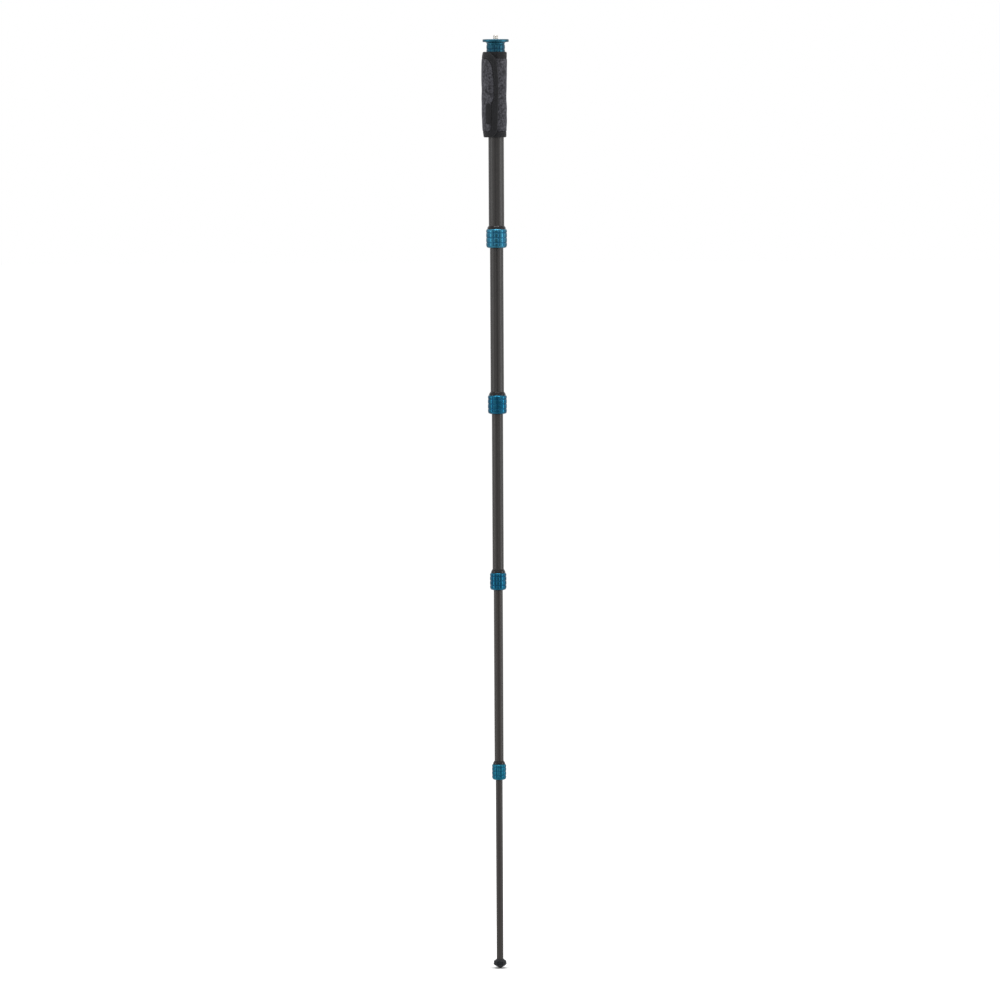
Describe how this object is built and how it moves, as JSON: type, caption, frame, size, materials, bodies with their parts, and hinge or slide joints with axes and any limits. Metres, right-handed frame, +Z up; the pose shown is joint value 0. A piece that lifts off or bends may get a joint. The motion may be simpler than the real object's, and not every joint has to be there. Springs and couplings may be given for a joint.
{
  "type": "camera monopod",
  "caption": "Slender telescoping camera monopod: carbon tubes with twist collars, wrapped padded grip, round camera plate with a stud, and a flared rubber foot.",
  "frame": {"origin": "on the pole's axis at the rubber foot's tip, with all sections drawn out", "axes": "+Z up along the pole towards the camera stud; -Y the front, towards the camera in the picture"},
  "size_m": [0.0514, 0.0514, 1.7584],
  "materials": {
    "steel": "turned, bright",
    "blue_anodised": "blue-green anodised, satin",
    "black_anodised": "black anodised, glossy",
    "bare_aluminium": "machined",
    "carbon_fibre": "clear-coated carbon weave",
    "collet_plastic": "moulded, smooth",
    "shim_plastic": "moulded, smooth",
    "seal_rubber": "soft, matt",
    "foot_rubber": "moulded, matt",
    "grip_felt": "brushed fleece over foam",
    "grip_tape": "woven binding tape, stitched",
    "hook_and_loop": "hook and loop tape",
    "label_weave": "woven label, plain"
  },
  "bodies": {
    "top_section": {"tube_1": "carbon_fibre", "lock_body_1": "black_anodised", "neck_sleeve": "blue_anodised", "camera_plate": "blue_anodised", "camera_stud": "steel", "grip_pad": "grip_felt", "grip_binding": "grip_tape", "grip_loop_strip": "hook_and_loop", "grip_hook_strip": "hook_and_loop", "grip_label": "label_weave"},
    "section_2": {"tube_2": "carbon_fibre", "guide_shims_2": "shim_plastic", "lock_body_2": "black_anodised"},
    "section_3": {"tube_3": "carbon_fibre", "guide_shims_3": "shim_plastic", "lock_body_3": "black_anodised"},
    "section_4": {"tube_4": "carbon_fibre", "guide_shims_4": "shim_plastic", "lock_body_4": "black_anodised"},
    "section_5": {"tube_5": "carbon_fibre", "guide_shims_5": "shim_plastic", "foot_plug": "bare_aluminium", "rubber_foot": "foot_rubber"},
    "collet_body_1": {"collet_1": "collet_plastic"},
    "collar_body_1": {"collar_1": "blue_anodised", "seal_ring_1": "seal_rubber"},
    "collet_body_2": {"collet_2": "collet_plastic"},
    "collar_body_2": {"collar_2": "blue_anodised", "seal_ring_2": "seal_rubber"},
    "collet_body_3": {"collet_3": "collet_plastic"},
    "collar_body_3": {"collar_3": "blue_anodised", "seal_ring_3": "seal_rubber"},
    "collet_body_4": {"collet_4": "collet_plastic"},
    "collar_body_4": {"collar_4": "blue_anodised", "seal_ring_4": "seal_rubber"}
  },
  "joints": [
    {"name": "slide_2", "type": "slide", "parent": "top_section", "child": "section_2", "axis": [0, 0, 1], "range_m": [0, 0.2679]},
    {"name": "slide_3", "type": "slide", "parent": "section_2", "child": "section_3", "axis": [0, 0, 1], "range_m": [0, 0.2911]},
    {"name": "slide_4", "type": "slide", "parent": "section_3", "child": "section_4", "axis": [0, 0, 1], "range_m": [0, 0.3222]},
    {"name": "slide_5", "type": "slide", "parent": "section_4", "child": "section_5", "axis": [0, 0, 1], "range_m": [0, 0.3402]},
    {"name": "lock_1_press", "type": "slide", "parent": "top_section", "child": "collet_body_1", "axis": [0, 0, -1], "range_m": [0, 0.001]},
    {"name": "lock_1_twist", "type": "hinge", "parent": "collet_body_1", "child": "collar_body_1", "pos_m": [0, 0, 1.3764], "axis": [0, 0, -1], "range_deg": [0, 144]},
    {"name": "lock_2_press", "type": "slide", "parent": "section_2", "child": "collet_body_2", "axis": [0, 0, -1], "range_m": [0, 0.001]},
    {"name": "lock_2_twist", "type": "hinge", "parent": "collet_body_2", "child": "collar_body_2", "pos_m": [0, 0, 1.0653], "axis": [0, 0, -1], "range_deg": [0, 144]},
    {"name": "lock_3_press", "type": "slide", "parent": "section_3", "child": "collet_body_3", "axis": [0, 0, -1], "range_m": [0, 0.001]},
    {"name": "lock_3_twist", "type": "hinge", "parent": "collet_body_3", "child": "collar_body_3", "pos_m": [0, 0, 0.7336], "axis": [0, 0, -1], "range_deg": [0, 144]},
    {"name": "lock_4_press", "type": "slide", "parent": "section_4", "child": "collet_body_4", "axis": [0, 0, -1], "range_m": [0, 0.001]},
    {"name": "lock_4_twist", "type": "hinge", "parent": "collet_body_4", "child": "collar_body_4", "pos_m": [0, 0, 0.3739], "axis": [0, 0, -1], "range_deg": [0, 144]}
  ],
  "couplings": [
    {"joint": "lock_1_press", "follows": "lock_1_twist", "m_per_rad": 0.00039789},
    {"joint": "lock_2_press", "follows": "lock_2_twist", "m_per_rad": 0.00039789},
    {"joint": "lock_3_press", "follows": "lock_3_twist", "m_per_rad": 0.00039789},
    {"joint": "lock_4_press", "follows": "lock_4_twist", "m_per_rad": 0.00039789}
  ]
}
